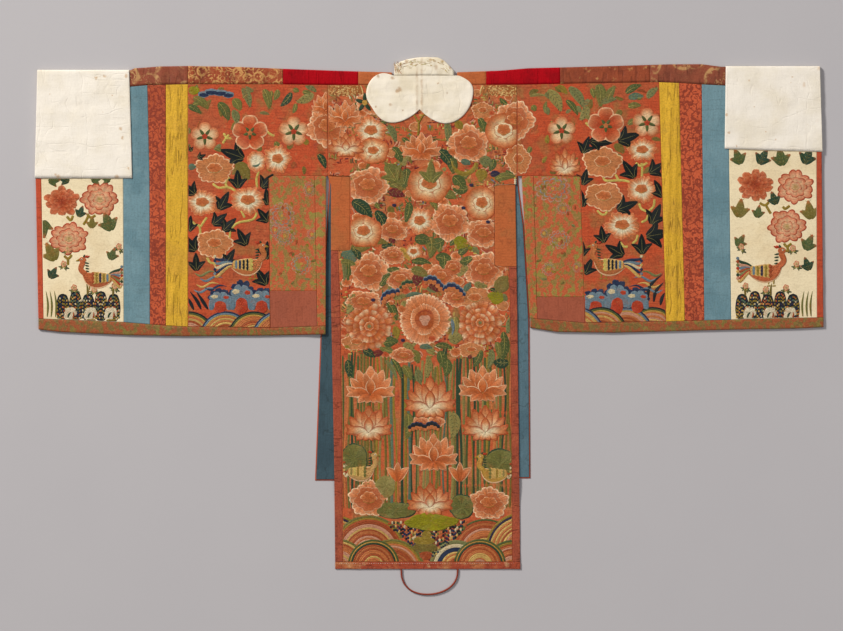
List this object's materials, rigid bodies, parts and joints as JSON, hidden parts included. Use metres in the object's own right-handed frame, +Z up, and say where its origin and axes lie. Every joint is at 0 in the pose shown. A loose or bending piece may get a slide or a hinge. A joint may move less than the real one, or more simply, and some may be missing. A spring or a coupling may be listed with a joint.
{
  "type": "hwarot, a bridal robe laid flat",
  "caption": "Wide-sleeved Korean bridal robe laid flat, back uppermost: embroidered back over two fronts, banded sleeves, turned-back white cuffs and white collar.",
  "frame": {"origin": "centre of the robe in plan, on the surface it lies on, without the cord loop at its hem", "axes": "+X along the spread sleeves, to the right as seen from above with the neck away from the viewer; +Y from the back hem towards the neck; +Z up from the surface"},
  "size_m": [1.7995, 1.229, 0.0093],
  "materials": {
    "embroidered_red_silk": "orange-red silk worked all over with satin-stitch flowers",
    "red_silk_plain": "plain orange-red silk tabby",
    "embroidered_ivory_silk": "ivory silk with satin-stitch flowers and birds",
    "yellow_silk": "soft golden yellow silk, creased",
    "red_damask": "red silk damask with a small scrolling pattern",
    "blue_silk": "faded blue silk tabby",
    "gold_brocade": "worn green and red brocade with gold flowers",
    "rose_silk": "faded rose-brown silk",
    "scarlet_satin": "bright scarlet satin",
    "orange_silk": "orange silk tabby",
    "red_edging": "terracotta red silk binding",
    "white_cotton": "white cotton with faint brown stains",
    "silk_cord": "twisted red silk cord"
  },
  "bodies": {
    "root": {"back_hem": "red_edging", "back_panel": "embroidered_red_silk", "back_patch_left": "orange_silk", "back_patch_right": "orange_silk", "back_strip_left": "red_edging", "back_strip_right": "red_edging", "blue_band_back_left": "blue_silk", "blue_band_back_right": "blue_silk", "blue_band_front_left": "blue_silk", "blue_band_front_right": "blue_silk", "brocade_patch_left": "gold_brocade", "brocade_patch_right": "gold_brocade", "collar_band": "white_cotton", "collar_flap": "white_cotton", "cuff_edge_back_left": "red_edging", "cuff_edge_back_right": "red_edging", "cuff_edge_front_left": "red_edging", "cuff_edge_front_right": "red_edging", "cuff_panel_back_left": "embroidered_ivory_silk", "cuff_panel_back_right": "embroidered_ivory_silk", "cuff_panel_front_left": "embroidered_ivory_silk", "cuff_panel_front_right": "embroidered_ivory_silk", "flower_panel_back_left": "embroidered_red_silk", "flower_panel_back_right": "embroidered_red_silk", "flower_panel_front_left": "embroidered_red_silk", "flower_panel_front_right": "embroidered_red_silk", "front_left": "red_silk_plain", "front_lining_left": "blue_silk", "front_lining_right": "blue_silk", "front_right": "red_silk_plain", "hem_loop": "silk_cord", "plain_patch_left": "rose_silk", "plain_patch_right": "rose_silk", "red_band_back_left": "red_damask", "red_band_back_right": "red_damask", "red_band_front_left": "red_damask", "red_band_front_right": "red_damask", "shoulder_brocade_left": "gold_brocade", "shoulder_brocade_right": "gold_brocade", "shoulder_neck_left": "orange_silk", "shoulder_neck_right": "orange_silk", "shoulder_rose_left": "rose_silk", "shoulder_rose_right": "rose_silk", "shoulder_scarlet_left": "scarlet_satin", "shoulder_scarlet_right": "scarlet_satin", "sleeve_hem_left": "gold_brocade", "sleeve_hem_right": "gold_brocade", "slit_binding_back_left": "gold_brocade", "slit_binding_back_right": "gold_brocade", "slit_binding_front_left": "gold_brocade", "slit_binding_front_right": "gold_brocade", "white_cuff_left": "white_cotton", "white_cuff_right": "white_cotton", "yellow_band_back_left": "yellow_silk", "yellow_band_back_right": "yellow_silk", "yellow_band_front_left": "yellow_silk", "yellow_band_front_right": "yellow_silk"}
  },
  "joints": []
}
